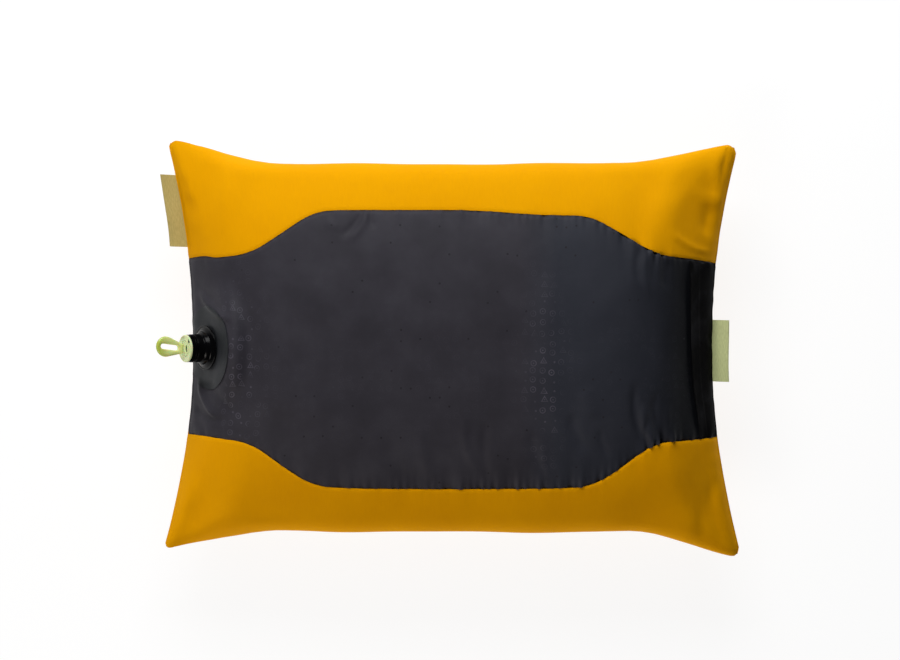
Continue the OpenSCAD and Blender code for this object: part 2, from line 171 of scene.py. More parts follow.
def thin_solid(name, outer, thickness, material, hole=None):
    """A closed thin cloth under a grid of points. hole is the radius of a hole about the valve's axis."""
    nu, nv = outer.shape[:2]
    n = nu * nv
    inner = outer - normals_of(outer) * np.broadcast_to(thickness, outer.shape[:2])[..., None]
    verts = np.concatenate([outer.reshape(-1, 3), inner.reshape(-1, 3)])
    faces = thin_faces(nu, nv)
    uv = np.tile(flat_uv(outer).reshape(-1, 2), (2, 1))
    if hole:
        local = (verts - VALVE_AT) @ VALVE_FRAME
        radius = np.hypot(local[:, 0], local[:, 1])
        # Both skins lose the same points
        near = np.tile(((radius < hole) & (np.abs(local[:, 2]) < HOLE_REACH))[:n], 2)
        gone = near[faces].any(axis=1)
        # The points round the gap are drawn onto the hole's circle
        cut = np.intersect1d(faces[gone].ravel(), faces[~gone].ravel())
        scale = hole / np.maximum(radius[cut], 1e-6)
        local[cut, 0] *= scale
        local[cut, 1] *= scale
        verts[cut] = in_space(local[cut])
        faces = faces[~gone]
        # The cut edges of the outer skin are joined to the same edges of the inner one
        skin = faces[(faces < n).all(axis=1)]
        a, b = skin.ravel(), np.roll(skin, -1, axis=1).ravel()
        pairs = set(zip(a.tolist(), b.tolist()))
        edge = set(cut.tolist())
        walls = [(q, p, n + p, n + q) for p, q in pairs if (q, p) not in pairs and {p, q} <= edge]
        used, faces = np.unique(np.concatenate([faces, walls]), return_inverse=True)
        verts, uv, faces = verts[used], uv[used], faces.reshape(-1, 4)
    return mesh_of(name, verts, faces, material, uv)


def ring_faces(n, m):
    """Faces of a skin closed both ways: n places round, m points in each section."""
    i, j = np.meshgrid(np.arange(n), np.arange(m), indexing="ij")
    next_i, next_j = (i + 1) % n, (j + 1) % m
    return np.stack([i * m + j, next_i * m + j, next_i * m + next_j, i * m + next_j], -1).reshape(-1, 4)


def lathe(name, profile, material, segments=96, grip=None):
    """A closed profile, turned round the valve's axis; its corners are (radius, height, fillet) in mm.

    grip cuts finger grooves: from and to which height, how many, and how deep.
    """
    prof = np.array(rounded(profile))
    phi = np.arange(segments)[:, None] * TURN / segments
    r, z = prof[:, 0] + 0 * phi, prof[:, 1] + 0 * phi
    if grip:
        low, high, count, deep = grip
        on = smooth((prof[:, 1] - low) / 0.5) * smooth((high - prof[:, 1]) / 0.5) * (prof[:, 0] > 8)
        r = r - on * deep * (0.5 + 0.5 * np.cos(count * phi))
    local = np.stack([r * np.cos(phi), r * np.sin(phi), z], -1)
    verts = in_space(local).reshape(-1, 3)
    return mesh_of(name, verts, ring_faces(segments, len(prof)), material, sharp=40)


def rounded(corners, steps=4):
    """A closed profile whose corners (radius, height, fillet) are rounded."""
    out = []
    points, fillets = np.array(corners)[:, :2], np.array(corners)[:, 2]
    for p, before, after, f in zip(points, np.roll(points, 1, 0), np.roll(points, -1, 0), fillets):
        a = p + (before - p) / np.linalg.norm(before - p) * f
        b = p + (after - p) / np.linalg.norm(after - p) * f
        for t in np.linspace(0, 1, steps + 1 if f else 1):
            out.append((1 - t) ** 2 * a + 2 * t * (1 - t) * p + t * t * b)
    return out


# ---- Shape of the case ----


def clamp01(t):
    return np.clip(t, 0, 1)


def smooth(t):
    t = clamp01(t)
    return t * t * (3 - 2 * t)


def spow(t, e):
    return np.sign(t) * np.abs(t) ** e


def end_x(y):
    return CASE_L / 2 - END_WAIST * (1 - clamp01(np.abs(y) * 2 / CASE_W) ** 2.2)


def half_w(u):
    return CASE_W / 2 - SIDE_WAIST * (1 - clamp01((np.abs(u) - FLARE_START) / (1 - FLARE_START)) ** 1.6)


def half_z(u):
    return SEAM_HALF + (HALF_H - SEAM_HALF) * (1 - np.minimum(1, np.abs(u)) ** END_POWER)


def valve_distance(x, y):
    """Distance from the valve's axis of the place on its seat above a plan place."""
    return np.hypot((x - VALVE_AT[0]) / VALVE_AXIS[2], y - VALVE_AT[1])


def valve_plane_z(x, y, depth):
    n = VALVE_AXIS
    return VALVE_AT[2] - ((x - VALVE_AT[0]) * n[0] + (y - VALVE_AT[1]) * n[1] + depth) / n[2]


def plane_pull(x, y):
    """How strongly the valve's flange holds the fabric in its plane."""
    t = clamp01((valve_distance(x, y) - FLAT_R) / (BLEND_R - FLAT_R))
    return 1 - t**3 * (t * (6 * t - 15) + 10)


def case_base(u, a, depth=0.0):
    """Points of the case at stations u and section angles a, at a depth below its outside."""
    y = (half_w(u) - depth) * spow(np.cos(a), 2 / POWER)
    x = u * end_x(y)
    lift = np.maximum(half_z(u) - depth, 0.3 * half_z(u)) * spow(np.sin(a), 2 / POWER)
    z = MID_Z + lift
    top = z + (np.maximum(MID_Z, valve_plane_z(x, y, depth)) - z) * plane_pull(x, y)
    # Towards the ground the underside flattens out over a height of rest
    rest = 3.0
    clear = z - depth
    low = depth + np.where(clear > rest, clear, 0.25 * np.maximum(clear + rest, 0) ** 2 / rest)
    return np.stack([x, y, np.where(lift > 0, top, low)], -1)


def panel_half(x):
    """Half width of the panel, with its corners rounded."""
    return sum(np.interp(np.abs(x) + d, *zip(*PANEL_HALF)) for d in ROUNDING) / len(ROUNDING)


def plan_angle(u, y):
    """Section angle of the back at a sideways place."""
    return np.arccos(np.clip(spow(y / half_w(u), POWER / 2), -1, 1))


# How each long seam bows out: its side, the bow's middle along the pillow, its reach and its height
SEAM_BOWS = (
    (1, -35, 75, 3.6),
    (-1, 5, 95, 2.2),
    (-1, 150, 35, -2.8),
    (-1, -150, 35, -2.8),
    (1, -175, 14, 2.5),
)


def seam_angle(u, side, gap=0.0):
    """Section angle of the panel's seam on a side."""
    x = u * WAIST_L
    half = panel_half(x) + gap
    for bow_side, middle, reach, height in SEAM_BOWS:
        if bow_side == side:
            half = half + height * np.exp(-(((x - middle) / reach) ** 4))
    return plan_angle(u, PANEL_OFFSET + side * half)


def arc_fractions(points):
    steps = np.linalg.norm(np.diff(points, axis=0), axis=1)
    s = np.concatenate([[0], np.cumsum(steps)])
    return s / s[-1]


# Section angle against the share of the way round the middle section
SECTION_ANGLE = np.linspace(0, TURN, 2401)
section_y = half_w(0) * spow(np.cos(SECTION_ANGLE), 2 / POWER)
section_z = HALF_H * spow(np.sin(SECTION_ANGLE), 2 / POWER)
SECTION_SHARE = arc_fractions(np.stack([section_y, section_z], -1))
# Station against the share of the way along the back
STATION_U = np.linspace(-1, 1, 4001)
STATION_SHARE = arc_fractions(np.stack([STATION_U * WAIST_L, half_z(STATION_U)], -1))


def stations(n, first=-1.0, last=1.0):
    """n stations from first to last, evenly spread over the fabric's length."""
    lo, hi = np.interp([first, last], STATION_U, STATION_SHARE)
    return np.interp(np.linspace(lo, hi, n), STATION_SHARE, STATION_U)


# ---- The inflated fabric's own give, from a cloth simulation ----

# The coarse grid: stations along the pillow and points round its section
NI, NJ = 79, 120
# The case starts smaller than its final size, because it swells
START_SIZE = (0.988, 0.984, 0.965)
PRESSURE = 4
FRAMES = 20
coarse_u = stations(NI)
coarse_a = np.interp(np.arange(NJ) / NJ, SECTION_SHARE, SECTION_ANGLE)
coarse_base = case_base(coarse_u[:, None], coarse_a[None, :])


def box_smooth(field, passes):
    """Averages a coarse field with its neighbours; it wraps round the section."""
    for _ in range(passes):
        f = np.concatenate([field[:1], field, field[-1:]])
        f = (f[:-2] + 2 * f[1:-1] + f[2:]) / 4
        field = (np.roll(f, 1, 1) + 2 * f + np.roll(f, -1, 1)) / 4
    return field


def inflate():
    """How far each point of the coarse grid moves when the sewn case is blown up, in mm."""
    middle = np.array([0, 0, MID_Z])
    start = middle + (coarse_base - middle) * START_SIZE
    verts = start.reshape(-1, 3) * MM
    faces = ring_faces(NI, NJ)[: (NI - 1) * NJ].tolist()
    for end, flip in ((0, False), (NI - 1, True)):
        for j in range(NJ // 2):
            face = [end * NJ + q % NJ for q in (j, j + 1, NJ - j - 1, NJ - j)]
            face = list(dict.fromkeys(face))
            faces.append(tuple(reversed(face)) if flip else tuple(face))
    mesh = bpy.data.meshes.new("inflating")
    mesh.from_pydata(verts.tolist(), [], faces)
    ob = link("inflating", mesh)

    x, y, z = start[..., 0], start[..., 1], start[..., 2]
    edge = 1 - np.abs(coarse_u)[:, None] + 0 * y
    # Held still: the end seams, the valve's seat and what lies on the ground
    on_seat = (valve_distance(x, y) < CALM_R) & (z > MID_Z)
    pinned = (edge < 1e-6) | on_seat | (z < z.min() + 0.4)
    pin = ob.vertex_groups.new(name="pin")
    pin.add([int(i) for i in np.flatnonzero(pinned.ravel())], 1.0, "REPLACE")
    # Cloth to spare towards the ends, unevenly, so that it puckers there
    loose = ob.vertex_groups.new(name="loose")
    spare = smooth(1 - edge / 0.3) * (0.6 + 0.4 * np.sin(y / 17 + 1.3) * np.sin(x / 60 + 0.4))
    for i, w in enumerate(spare.ravel()):
        if w > 0.01:
            loose.add([i], float(w), "REPLACE")

    cloth = ob.modifiers.new("Cloth", "CLOTH")
    s = cloth.settings
    s.quality = 6
    s.mass = 0.15
    s.tension_stiffness = s.compression_stiffness = 12
    s.shear_stiffness = 4
    s.bending_stiffness = 0.05
    s.vertex_group_mass = "pin"
    s.use_pressure = True
    s.uniform_pressure_force = PRESSURE
    s.vertex_group_shrink = "loose"
    s.shrink_min = 0.0
    s.shrink_max = -0.07
    s.effector_weights.gravity = 0
    cloth.collision_settings.use_collision = False
    cloth.point_cache.frame_start, cloth.point_cache.frame_end = 1, FRAMES
    scene = bpy.context.scene
    for f in range(1, FRAMES + 1):
        scene.frame_set(f)
    done = ob.evaluated_get(bpy.context.evaluated_depsgraph_get())
    co = np.zeros(len(done.data.vertices) * 3, np.float32)
    done.data.vertices.foreach_get("co", co)
    scene.frame_set(1)
    bpy.data.objects.remove(ob)
    return co.reshape(NI, NJ, 3) / MM - start


# The most that a point may give in mm, and the share of its give that the tight panel shows
GIVE_CAP = 3.5
PANEL_GIVE = 0.22
give = np.zeros((NI, NJ, 3))
moved = inflate()
# The overall size is the CAD's, so only the fabric's unevenness is kept
give = box_smooth(moved, 2) - box_smooth(moved, 60)
size = np.maximum(np.linalg.norm(give, axis=-1, keepdims=True), 1e-9)
give = give * GIVE_CAP * np.tanh(size / GIVE_CAP) / size
give = box_smooth(give, 1)
give *= smooth((1 - np.abs(coarse_u)) / 0.06)[:, None, None]


def catmull(t):
    """Catmull-Rom weights of the four places round t."""
    return (
        (-t + 2 * t**2 - t**3) / 2,
        (2 - 5 * t**2 + 3 * t**3) / 2,
        (t + 4 * t**2 - 3 * t**3) / 2,
        (-(t**2) + t**3) / 2,
    )


def give_at(u, a):
    """The coarse grid's give at stations u and angles a, by Catmull-Rom interpolation."""
    fi = np.interp(u, coarse_u, np.arange(NI))
    fj = np.interp(np.mod(a, TURN), SECTION_ANGLE, SECTION_SHARE) * NJ
    i0, j0 = np.floor(fi).astype(int), np.floor(fj).astype(int)
    wi, wj = catmull(fi - i0), catmull(fj - j0)
    total = np.zeros(u.shape + (3,))
    for p in range(4):
        i = np.clip(i0 + p - 1, 0, NI - 1)
        for q in range(4):
            total += (wi[p] * wj[q])[..., None] * give[i, (j0 + q - 1) % NJ]
    return total


def looseness(u, a):
    """How much of the give shows: little on the tight panel, none on the ground, more near the ends."""
    base = case_base(u, a)
    x, y, z = np.moveaxis(base, -1, 0)
    back = smooth((z - MID_Z + 4) / 20)
    gold = 1 - back * (1 - smooth((np.abs(y - PANEL_OFFSET) - panel_half(x)) / 45))
    near_end = smooth((np.abs(u) - 0.45) / 0.4)
    share = PANEL_GIVE + (0.25 + 0.75 * near_end - PANEL_GIVE) * gold
    away = smooth((valve_distance(x, y) - BLEND_R) / 60)
    return share * (1 - back * (1 - away)) * smooth((z - 1) / 14)


# How far each sewn corner stands from the mean outline: x side, y side, along x, along y, and its radius
CORNERS = (
    (-1, 1, -2.0, 3.6, 4.2),
    (1, 1, 2.6, 0.8, 5.4),
    (-1, -1, -3.8, -0.4, 2.6),
    (1, -1, 4.4, -7.0, 4.6),
)
# Half the angle between the two edges that meet at a corner
CORNER_HALF = math.radians(28)
# How far the waists are drawn in at the ends and the sides, and the lower side stands out, in mm
EXTRA_WAIST = 2.2
EXTRA_SIDE = 1.6
LOWER_SWELL = 3.0
# The share of the fabric's height that the end seams press flat
SEAM_PINCH = 0.42


def outline_shift(p, u):
    """The hand-sewn unevenness of the outline: corners out of square and deeper waists."""
    x, y = p[..., 0], p[..., 1]
    t = np.clip(np.abs(y) / half_w(u), 0, 1)
    far = np.abs(u)
    shift = np.zeros(p.shape)
    for side_x, side_y, dx, dy, _ in CORNERS:
        near = smooth((u * side_x - 0.66) / 0.34) * smooth((t - 0.1) / 0.9) * (y * side_y > 0)
        shift[..., 0] += dx * near
        shift[..., 1] += dy * near
    shift[..., 0] -= np.sign(x) * EXTRA_WAIST * far**3 * (1 - t**3)
    shift[..., 1] -= np.sign(y) * EXTRA_SIDE * t * np.exp(-(((far - 0.72) / 0.16) ** 2))
    along = np.exp(-(((u - 0.05) / 0.78) ** 4))
    shift[..., 1] -= (y < 0) * LOWER_SWELL * smooth((t - 0.72) / 0.28) * along
    # Each corner is turned with a small radius
    for side_x, side_y, dx, dy, radius in CORNERS:
        inward = np.array([-side_x * 0.69, -side_y * 0.72])
        tip = np.array([side_x * CASE_L / 2 + dx, side_y * CASE_W / 2 + dy])
        centre = tip + inward * radius / math.sin(CORNER_HALF)
        d = p[..., :2] + shift[..., :2] - centre
        length = np.maximum(np.linalg.norm(d, axis=-1), 1e-9)
        off = np.arccos(np.clip(-(d @ inward) / length, -1, 1))
        share = np.cos(math.pi / 2 - CORNER_HALF - np.minimum(off, math.pi / 2 - CORNER_HALF))
        edge = radius / share
        pull = (1 - share) * smooth((length - 0.3 * radius) / np.maximum(edge - 0.3 * radius, 1e-6))
        shift[..., :2] -= d * pull[..., None]
    return shift


def case_points(u, a, depth=0.0):
    """Points of the sewn and blown-up case, at stations u and section angles a."""
    u, a = np.broadcast_arrays(u, a)
    p = case_base(u, a, depth)
    # The two fabrics are pressed together where they are sewn
    p[..., 2] -= (p[..., 2] - MID_Z) * SEAM_PINCH * smooth((np.abs(u) - 0.984) / 0.014)
    return p + outline_shift(p, u) + give_at(u, a) * looseness(u, a)[..., None]


# ---- Relief: folds, gathers and seams ----


def waves(x, seed, shortest, longest, n=14):
    """Smooth uneven waves along x, with a spread of about 1, the same each run."""
    rng = np.random.default_rng(seed)
    lengths = np.exp(rng.uniform(math.log(shortest), math.log(longest), n))
    phases = rng.uniform(0, TURN, n)
    return sum(np.sin(TURN * x / w + p) for w, p in zip(lengths, phases)) / math.sqrt(n / 2)


def unevenness(p, seed, shortest, longest, n=16):
    """Soft unevenness in space, with a spread of about 1."""
    rng = np.random.default_rng(seed)
    total = np.zeros(p.shape[:-1])
    for _ in range(n):
        d = rng.normal(size=3)
        d /= np.linalg.norm(d)
        w = math.exp(rng.uniform(math.log(shortest), math.log(longest)))
        total += np.sin(TURN * (p @ d) / w + rng.uniform(0, TURN))
    return total / math.sqrt(n / 2)


# Folds on the back: from x, y to x, y in plan, with the width and height, in mm
FOLDS = (
    # Short pulls inside the panel's upper seam
    (-71, 73, -60, 86, 2.2, -0.8),
    (-66, 70, -56, 85, 2.6, 0.7),
    (-55, 87, -53, 79, 1.8, -0.6),
    (-84, 82, -76, 78, 3.0, 0.5),
    # Long soft pulls from the panel's lower seam
    (5, -52, 13, -80, 3.2, 0.7),
    (19, -54, 22, -92, 3.6, -0.7),
    (-24, -58, -14, -90, 4.5, 0.5),
    (-44, -62, -33, -88, 6.0, -0.5),
    (77, -48, 85, -68, 4.0, -1.0),
    (50, -60, 60, -84, 4.0, -0.8),
    (58, -72, 63, -86, 2.4, 0.6),
    (96, -58, 101, -72, 2.6, -0.7),
    (86, -30, 92, -46, 5.0, 0.7),
    # The long ridge right of the middle
    (60, 62, 63, -66, 7.0, 0.55),
    # Gathers where the panel narrows at the right
    (126, 60, 127, 36, 2.4, 0.8),
    (121, 62, 121, 44, 2.4, -0.6),
    (133, 60, 132, 44, 2.4, -0.6),
    (143, 56, 140, 40, 3.4, -0.9),
    (117, -30, 125, -66, 3.0, -1.4),
    (124, -42, 130, -64, 2.4, 1.1),
    (132, -34, 137, -62, 3.0, -1.4),
    (141, -42, 144, -64, 2.4, 0.9),
    (127, -50, 128, -66, 1.6, -0.8),
    # Pulls round the valve's patch
    (-170, 33, -151, 17, 2.2, 1.8),
    (-172, 38, -158, 30, 3.0, -0.6),
    (-172, -27, -160, -48, 2.2, 2.1),
    (-166, -24, -148, -44, 3.4, -1.4),
    (-174, -44, -152, -51, 2.2, -1.2),
    (-176, -40, -165, -62, 3.0, -0.6),
    # Golden fabric by the corners
    (-187, 112, -175, 88, 6.0, -1.4),
    (-186, 102, -174, 103, 2.0, 0.7),
    (-176, 120, -166, 104, 6.0, 0.7),
    (187, 133, 183, 114, 3.0, -1.7),
    (181, 131, 176, 112, 4.5, 1.1),
    (176, 94, 171, 78, 6.0, -1.9),
    (146, 72, 170, 62, 2.0, 1.1),
    (164, 101, 186, 97, 2.8, 1.4),
    (166, -113, 169, -130, 4.5, -0.8),
    (160, -118, 156, -134, 6.0, 0.6),
    (178, -92, 174, -104, 5.0, -1.1),
    (187, -112, 191, -132, 3.0, 0.8),
    (-180, -108, -172, -124, 6.0, -0.7),
)


def fold_height(x, y):
    """Height of all the folds; each bows a little and fades at its ends."""
    total = np.zeros(x.shape)
    for x0, y0, x1, y1, width, height in FOLDS:
        length = math.hypot(x1 - x0, y1 - y0)
        dx, dy = (x1 - x0) / length, (y1 - y0) / length
        t = ((x - x0) * dx + (y - y0) * dy) / length
        across = (x - x0) * dy - (y - y0) * dx
        bow = 0.07 * length * (2 * t - 1) ** 2
        ends = smooth((t + 0.25) / 0.45) * smooth((1.25 - t) / 0.45)
        total += height * ends * np.exp(-(((across + bow) / width) ** 2))
    return total


def relief(p, on_panel, seam_d, side):
    """Height of the fabric's own relief at points p, seam_d away from the panel's seam on a side."""
    x, y, z = np.moveaxis(p, -1, 0)
    back = smooth((z - MID_Z - 2) / 8)
    end_d = end_x(y) - np.abs(x)
    calm = smooth((valve_distance(x, y) - CALM_R) / 8)
    h = fold_height(x, y) * back * calm
    # Broad unevenness, stronger towards the ends
    h += 0.25 * unevenness(p, 5, 45, 110) * smooth(end_d / 15)
    h += 0.08 * unevenness(p, 8, 16, 40) * np.exp(-end_d / 60)
    # Gathers along the end seams
    for at_end, seed in ((x <= 0, 21), (x > 0, 22)):
        g = waves(y + 300 * (z > MID_Z), seed, 7, 22)
        reach = np.maximum(9 + 5 * waves(y, seed + 10, 30, 80), 4)
        h += np.where(at_end, 0.15 * g * np.exp(-end_d / reach), 0) * smooth(end_d / 3)
    # Gathers along the panel's seams, stronger at the lower seam, to the right and where the panel narrows
    strength = np.where(side > 0, 0.55, 1.0) * (0.45 + 0.55 * smooth((x + 90) / 120))
    strength = strength + 1.1 * np.exp(-(((x - 130) / 17) ** 4))
    fine = waves(x, 31 if on_panel else 35, 4.5, 9)
    coarse = waves(x + 40 * side, 41 if on_panel else 45, 9, 26)
    size = (0.42, 0.45) if on_panel else (0.09, 0.16)
    h += strength * (size[0] * fine * np.exp(-seam_d / 3.5) + size[1] * coarse * np.exp(-seam_d / 9))
    # The seam's own groove
    groove, groove_half = (0.75, 1.3) if on_panel else (0.55, 0.9)
    h -= groove * np.exp(-((seam_d / groove_half) ** 2))
    return h * calm if on_panel else h


# ---- Materials ----


class Nodes:
    """A material's node tree, built from the shader back."""

    def __init__(self, name, color, roughness, **sockets):
        self.mat = bpy.data.materials.new(name)
        self.mat.use_nodes = True
        self.tree = self.mat.node_tree
        self.bsdf = self.tree.nodes["Principled BSDF"]
        self.put("Base Color", (*color, 1))
        self.put("Roughness", roughness)
        for socket, value in sockets.items():
            self.put(socket, value)

    def feed(self, node, key, value):
        """Links or sets an input, by its name or its number."""
        if isinstance(value, bpy.types.NodeSocket):
            self.tree.links.new(value, node.inputs[key])
        else:
            node.inputs[key].default_value = value

    def put(self, socket, value):
        self.feed(self.bsdf, socket.replace("_", " "), value)

    def node(self, kind, **inputs):
        made = self.tree.nodes.new("ShaderNode" + kind)
        for key, value in inputs.items():
            self.feed(made, key.replace("_", " "), value)
        return made

    def worked(self, kind, operation, values):
        made = self.node(kind)
        made.operation = operation
        for k, value in enumerate(values):
            self.feed(made, k, value)
        return made

    def math(self, operation, *values):
        return self.worked("Math", operation, values).outputs[0]

    def mul(self, a, b):
        return self.math("MULTIPLY", a, b)

    def vector(self, operation, *values):
        made = self.worked("VectorMath", operation, values)
        return made.outputs["Value" if operation in ("DOT_PRODUCT", "LENGTH") else "Vector"]

    def coords(self, kind="UV"):
        """Places in mm, on the flat cloth for UV or in space for Object."""
        source = self.node("TexCoord").outputs[kind]
        return self.vector("MULTIPLY", source, (1000.0, 1000.0, 1000.0))

    def noise(self, at, size, detail=3.0, rough=0.55):
        made = self.node("TexNoise", Vector=at, Scale=1 / size, Detail=detail, Roughness=rough)
        return made.outputs["Fac"]

    def remap(self, value, low, high, to_low, to_high):
        """The value, taken from one range to another and kept inside it."""
        made = self.node("MapRange", Value=value, From_Min=low, From_Max=high, To_Min=to_low, To_Max=to_high)
        return made.outputs["Result"]

    def bell(self, value, middle, half):
        """1 where the value is at the middle, fading out on both sides over half."""
        off = self.math("DIVIDE", self.math("SUBTRACT", value, middle), half)
        return self.math("EXPONENT", self.mul(self.mul(off, off), -1.0))

    def shades(self, fac, *colors):
        """A colour ramp over evenly spaced colours."""
        ramp = self.node("ValToRGB", Fac=fac)
        elements = ramp.color_ramp.elements
        while len(elements) < len(colors):
            elements.new(0.5)
        for k, color in enumerate(colors):
            elements[k].position = k / (len(colors) - 1)
            elements[k].color = (*color, 1)
        return ramp.outputs["Color"]

    def tinted(self, base, fac, color):
        """The base colour, turned towards another where fac is 1."""
        mix = self.node("Mix")
        mix.data_type = "RGBA"
        self.feed(mix, 0, fac)
        self.feed(mix, 6, base)
        mix.inputs[7].default_value = (*color, 1)
        return mix.outputs[2]

    def bump(self, height, distance, strength=1.0, normal=None):
        made = self.node("Bump", Height=height, Distance=distance * MM, Strength=strength)
        if normal:
            self.feed(made, "Normal", normal)
        return made.outputs["Normal"]

    def weave(self, at, pitch_x, pitch_y):
        """Over-and-under threads of a plain weave, from 0 to 1."""
        split = self.node("SeparateXYZ", Vector=at)
        x = self.math("SINE", self.mul(split.outputs["X"], math.pi / pitch_x))
        y = self.math("SINE", self.mul(split.outputs["Y"], math.pi / pitch_y))
        x2, y2 = self.math("ABSOLUTE", x), self.math("ABSOLUTE", y)
        sign = self.mul(self.math("SIGN", x), self.math("SIGN", y))
        crossing = self.mul(sign, 0.35)
        over = self.math("MULTIPLY_ADD", self.math("SUBTRACT", x2, y2), crossing, 0.5)
        return self.mul(over, self.math("MAXIMUM", x2, y2))


def mixed(a, b, t):
    return tuple(p + (q - p) * t for p, q in zip(a, b))


def golden_fabric():
    """A plain weave with uneven threads and a soft cloud of tone."""
    m = Nodes("golden_fabric", (0.86, 0.4, 0.0), 0.75, Sheen_Weight=0.04, Sheen_Roughness=0.5,
              Specular_IOR_Level=0.03, Sheen_Tint=(1.0, 0.6, 0.02, 1))
    at = m.coords()
    slub = m.noise(m.vector("MULTIPLY", at, (1.0, 0.16, 1.0)), 1.3, 2)
    cloud = m.noise(at, 42, 3)
    tone = m.math("ADD", m.mul(slub, 0.3), m.mul(cloud, 0.7))
    tone = m.remap(tone, 0.3, 0.7, 0, 1)
    m.put("Base Color", m.shades(tone, (0.83, 0.36, 0.0), (0.86, 0.38, 0.0), (0.89, 0.4, 0.0)))
    m.put("Roughness", m.remap(slub, 0.3, 0.7, 0.72, 0.88))
    weave = m.weave(at, 0.62, 0.62)
    first = m.bump(m.noise(at, 9, 3), 0.25, 0.35)
    m.put("Normal", m.bump(m.math("MULTIPLY_ADD", slub, 0.5, weave), 0.09, 0.55, first))
    return m.mat


def glyphs(m, at, pitch):
    """A lattice of small rings, triangles and dots, 1 on their lines; and a few dots alone."""
    cells = m.node("TexVoronoi", Vector=at, Scale=1 / pitch, Randomness=0.42)
    cells.voronoi_dimensions = "2D"
    local = m.vector("SUBTRACT", at, cells.outputs["Position"])
    r = m.vector("LENGTH", local)
    corner = None
    for k in range(3):
        turn = math.radians(90 + 120 * k)
        reach = m.vector("DOT_PRODUCT", local, (math.cos(turn), math.sin(turn), 0))
        corner = reach if corner is None else m.math("MAXIMUM", corner, reach)
    kind = m.node("SeparateColor", Color=cells.outputs["Color"]).outputs[0]

    def line(distance, radius, half):
        return m.math("LESS_THAN", m.math("ABSOLUTE", m.math("SUBTRACT", distance, radius)), half)

    dot = m.math("LESS_THAN", r, 0.5)
    ring, small = m.math("MAXIMUM", line(r, 1.75, 0.3), dot), m.math("LESS_THAN", r, 0.7)
    triangle = m.math("MAXIMUM", line(corner, 1.15, 0.28), dot)
    first = m.math("LESS_THAN", kind, 0.5)
    last = m.math("GREATER_THAN", kind, 0.72)
    middle = m.math("SUBTRACT", 1.0, m.math("ADD", first, last))
    total = m.mul(ring, first)
    total = m.math("MULTIPLY_ADD", triangle, middle, total)
    dots = m.mul(small, last)
    rare = m.mul(small, m.math("GREATER_THAN", kind, 0.95))
    return m.math("ADD", total, dots), rare


def coated_fabric(name, color, print_and_painted_shade, rough=(0.56, 0.64), gloss=0.14):
    """A fine coated weave. The panel's has a print, lighter in two bands of painted highlight, and painted
    shade darkens it towards the right end.
    """
    m = Nodes(name, color, rough[1], Specular_IOR_Level=gloss)
    at = m.coords()
    weave = m.weave(at, 0.36, 0.36)
    cloud = m.noise(at, 30, 4)
    tone = m.remap(cloud, 0.35, 0.65, 0, 1)
    base = m.shades(tone, mixed(color, (0, 0, 0), 0.12), color, mixed(color, (0.1, 0.1, 0.12), 0.08))
    roughness = m.remap(m.noise(at, 12, 3), 0.35, 0.65, rough[0], rough[1])
    height = m.mul(weave, 0.4)
    if print_and_painted_shade:
        marks = glyphs(m, m.vector("ADD", at, (3.1, 1.7, 0)), 6.4)
        split = m.node("SeparateXYZ", Vector=m.coords("Object"))
        place = split.outputs["X"]
        # Painted shade: the base turns bluer and darker right of the middle, where the cloth slopes away
        # from the light, and nearly black by the end strip, in the strip's shade
        base = m.tinted(base, m.remap(place, 44, 70, 0, 0.5), (0.024, 0.031, 0.045))
        base = m.tinted(base, m.remap(place, 85, 172, 0, 0.62), (0.006, 0.0075, 0.011))
        base = m.tinted(base, m.remap(place, 133, 153, 0, 0.72), (0.0015, 0.0017, 0.002))
        # Real print, with painted highlight: the marks show lighter in two bands across the cloth, where
        # light glints on them, and fade between them
        patchy = m.remap(m.noise(at, 15, 2), 0.42, 0.58, 0.1, 1)
        patchy = m.mul(patchy, m.bell(split.outputs["Y"], -20, 48))
        glint_mask = 0.07
        for middle, half in ((-142, 13), (60, 10)):
            glint_mask = m.math("ADD", m.bell(place, middle, half), glint_mask)
        glint_mask = m.mul(m.math("MINIMUM", glint_mask, 1.0), patchy)
        speck = m.mul(marks[1], m.math("SUBTRACT", 1.0, glint_mask))
        marks = m.mul(marks[0], glint_mask)
        base = m.tinted(base, speck, mixed(color, (0, 0, 0), 0.45))
        # Painted highlight: the print's marks are lighter where the light glints on them
        base = m.tinted(base, marks, mixed(color, (0.2, 0.19, 0.25), 0.3))
        roughness = m.math("SUBTRACT", roughness, m.mul(marks, 0.1))
        height = m.math("MULTIPLY_ADD", marks, 0.8, height)
    m.put("Base Color", base)
    m.put("Roughness", roughness)
    crinkle = m.bump(m.noise(at, 14, 4, 0.5), 0.3, 0.25)
    m.put("Normal", m.bump(height, 0.05, 0.5, crinkle))
    return m.mat


def tape(name, dark, light):
    m = Nodes(name, light, 0.8, Sheen_Weight=0.15, Specular_IOR_Level=0.3)
    at = m.coords()
    thread = m.noise(m.vector("MULTIPLY", at, (0.25, 1.6, 1.0)), 0.8, 2)
    m.put("Base Color", m.shades(m.remap(thread, 0.3, 0.7, 0, 1), dark, light))
    m.put("Roughness", m.remap(thread, 0.3, 0.7, 0.65, 0.9))
    m.put("Normal", m.bump(m.math("MULTIPLY_ADD", thread, 0.5, m.weave(at, 0.5, 0.8)), 0.12, 0.7))
    return m.mat


def moulded_nodes(name, color, rough, grain=0.05, size=0.9, **sockets):
    """A moulded plastic or rubber with a faint grain and uneven gloss."""
    m = Nodes(name, color, rough, **sockets)
    at = m.coords("Object")
    grey = m.noise(at, 7, 3)
    m.put("Base Color", m.shades(m.remap(grey, 0.3, 0.7, 0, 1), mixed(color, (0, 0, 0), 0.1), color))
    m.put("Roughness", m.remap(m.noise(at, 2.2, 3), 0.3, 0.7, rough * 0.8, min(1, rough * 1.25)))
    m.put("Normal", m.bump(m.noise(at, size, 2), grain, 0.5))
    return m


def moulded(*args, **sockets):
    return moulded_nodes(*args, **sockets).mat


